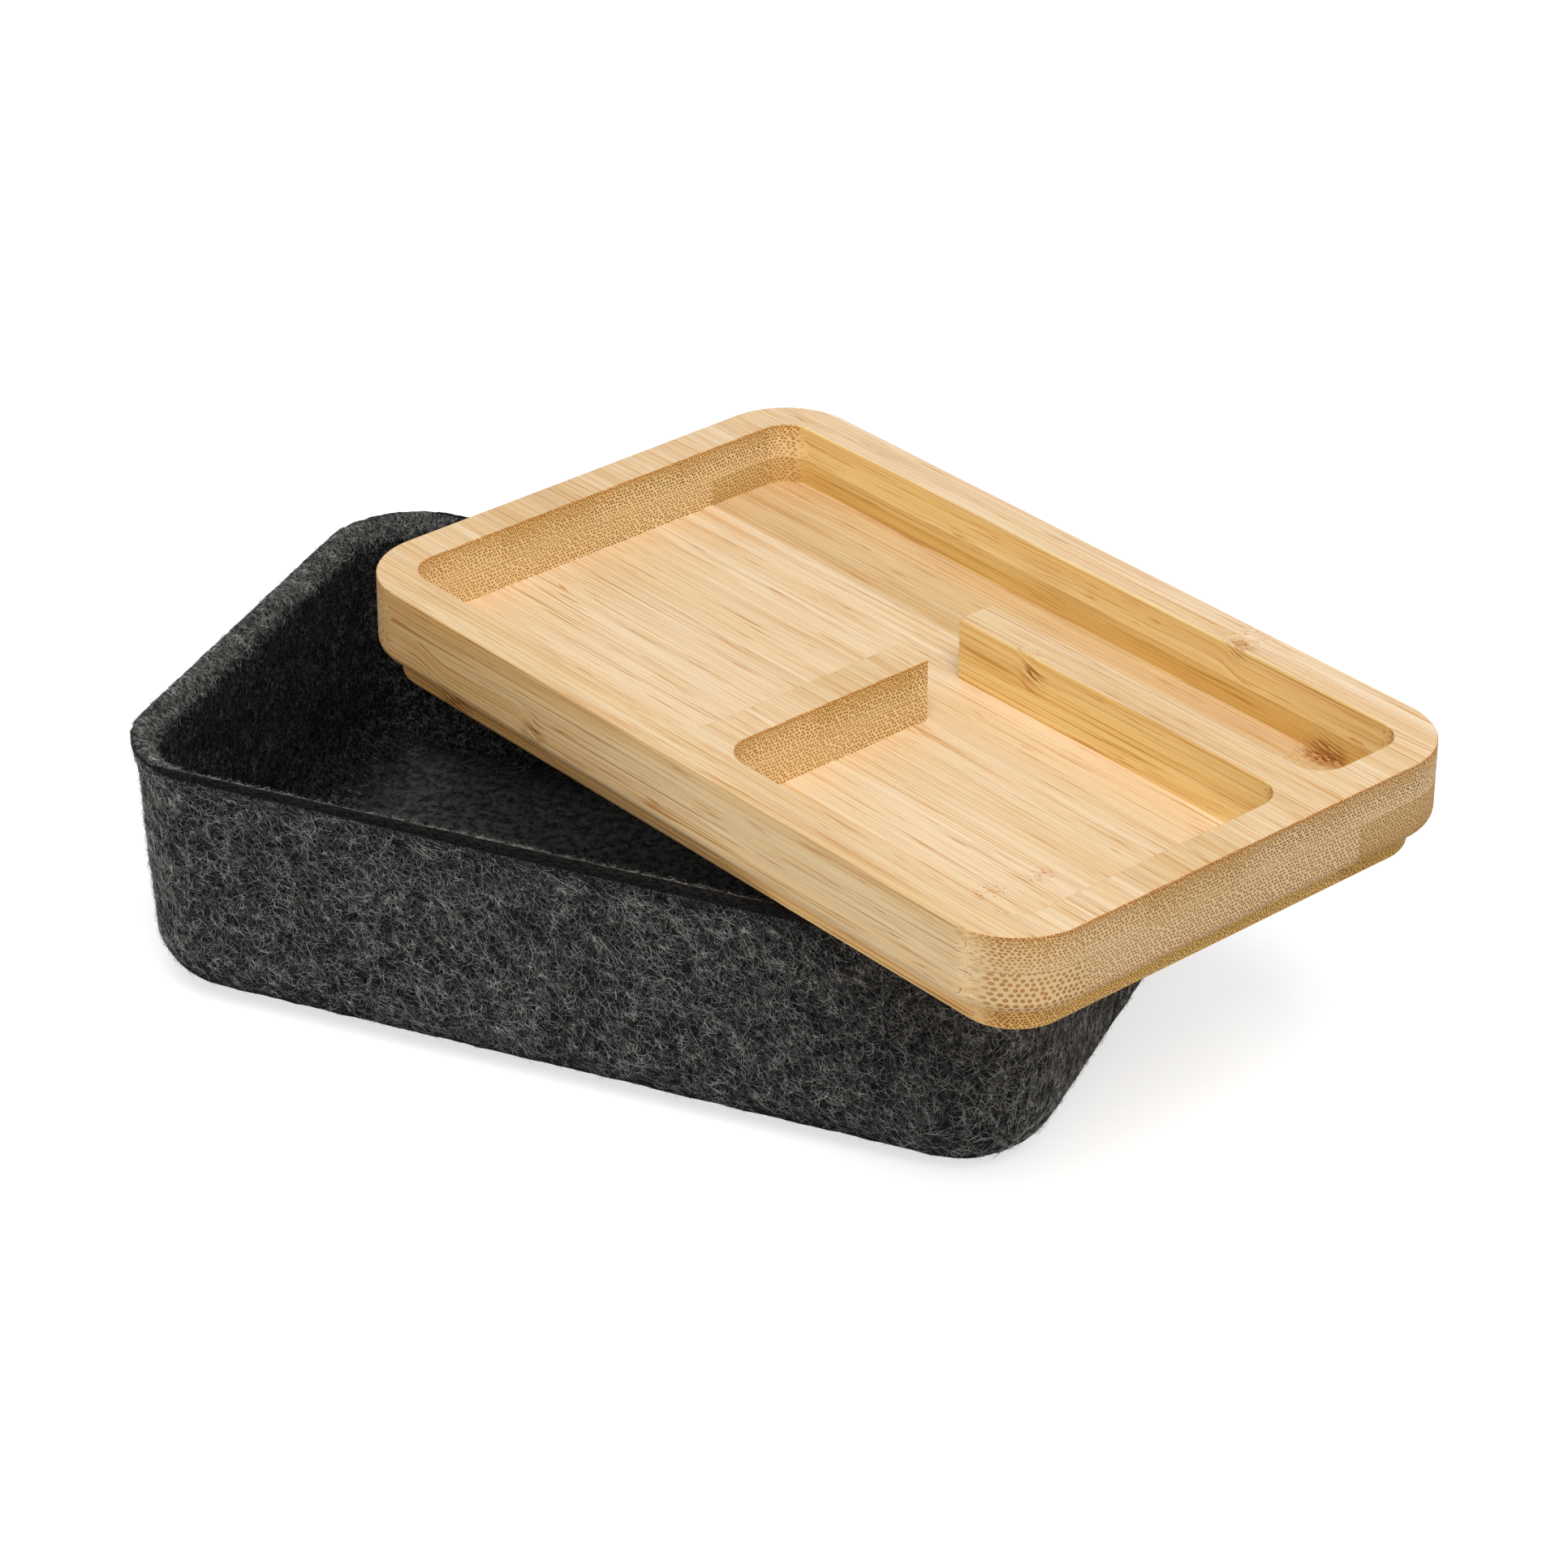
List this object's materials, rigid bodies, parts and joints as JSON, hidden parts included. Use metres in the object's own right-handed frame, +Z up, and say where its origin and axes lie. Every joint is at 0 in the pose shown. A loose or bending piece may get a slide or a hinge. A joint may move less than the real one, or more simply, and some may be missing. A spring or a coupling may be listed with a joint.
{
  "type": "felt storage box",
  "caption": "Pressed felt storage box with a laminated bamboo lid whose top is milled into a divided desk tray and whose underside is a plug for the rim.",
  "frame": {"origin": "centre of the felt box's flat underside, on the surface that the box stands on", "axes": "+X along the felt box's length, +Y across it towards the back, +Z up; the lid lies askew, turned 26 degrees clockwise seen from above"},
  "size_m": [0.2321, 0.1682, 0.0718],
  "materials": {
    "felt": "pressed melange wool-look felt, matt",
    "bottom_strip_1": "sanded bamboo, clear satin",
    "bottom_strip_2": "sanded bamboo, clear satin",
    "bottom_strip_3": "sanded bamboo, clear satin",
    "bottom_strip_4": "sanded bamboo, clear satin",
    "bottom_strip_5": "sanded bamboo, clear satin",
    "bottom_strip_6": "sanded bamboo, clear satin",
    "top_strip_1": "sanded bamboo, clear satin",
    "top_strip_2_left": "sanded bamboo, clear satin",
    "top_strip_2_middle": "sanded bamboo, clear satin",
    "top_strip_2_right": "sanded bamboo, clear satin",
    "top_strip_3_left": "sanded bamboo, clear satin",
    "top_strip_3_middle": "sanded bamboo, clear satin",
    "top_strip_3_right": "sanded bamboo, clear satin",
    "top_strip_4_left": "sanded bamboo, clear satin",
    "top_strip_4_middle": "sanded bamboo, clear satin",
    "top_strip_4_right": "sanded bamboo, clear satin",
    "top_strip_5_left": "sanded bamboo, clear satin",
    "top_strip_5_right": "sanded bamboo, clear satin",
    "top_strip_6": "sanded bamboo, clear satin"
  },
  "bodies": {
    "box": {"felt_box": "felt"},
    "lid": {"bottom_strip_1": "bottom_strip_1", "bottom_strip_2": "bottom_strip_2", "bottom_strip_3": "bottom_strip_3", "bottom_strip_4": "bottom_strip_4", "bottom_strip_5": "bottom_strip_5", "bottom_strip_6": "bottom_strip_6", "top_strip_1": "top_strip_1", "top_strip_2_left": "top_strip_2_left", "top_strip_2_middle": "top_strip_2_middle", "top_strip_2_right": "top_strip_2_right", "top_strip_3_left": "top_strip_3_left", "top_strip_3_middle": "top_strip_3_middle", "top_strip_3_right": "top_strip_3_right", "top_strip_4_left": "top_strip_4_left", "top_strip_4_middle": "top_strip_4_middle", "top_strip_4_right": "top_strip_4_right", "top_strip_5_left": "top_strip_5_left", "top_strip_5_right": "top_strip_5_right", "top_strip_6": "top_strip_6"}
  },
  "joints": [
    {"name": "lid_lift", "type": "slide", "parent": "box", "child": "lid", "axis": [0, 0, 1], "range_m": [0, 0.12]}
  ]
}
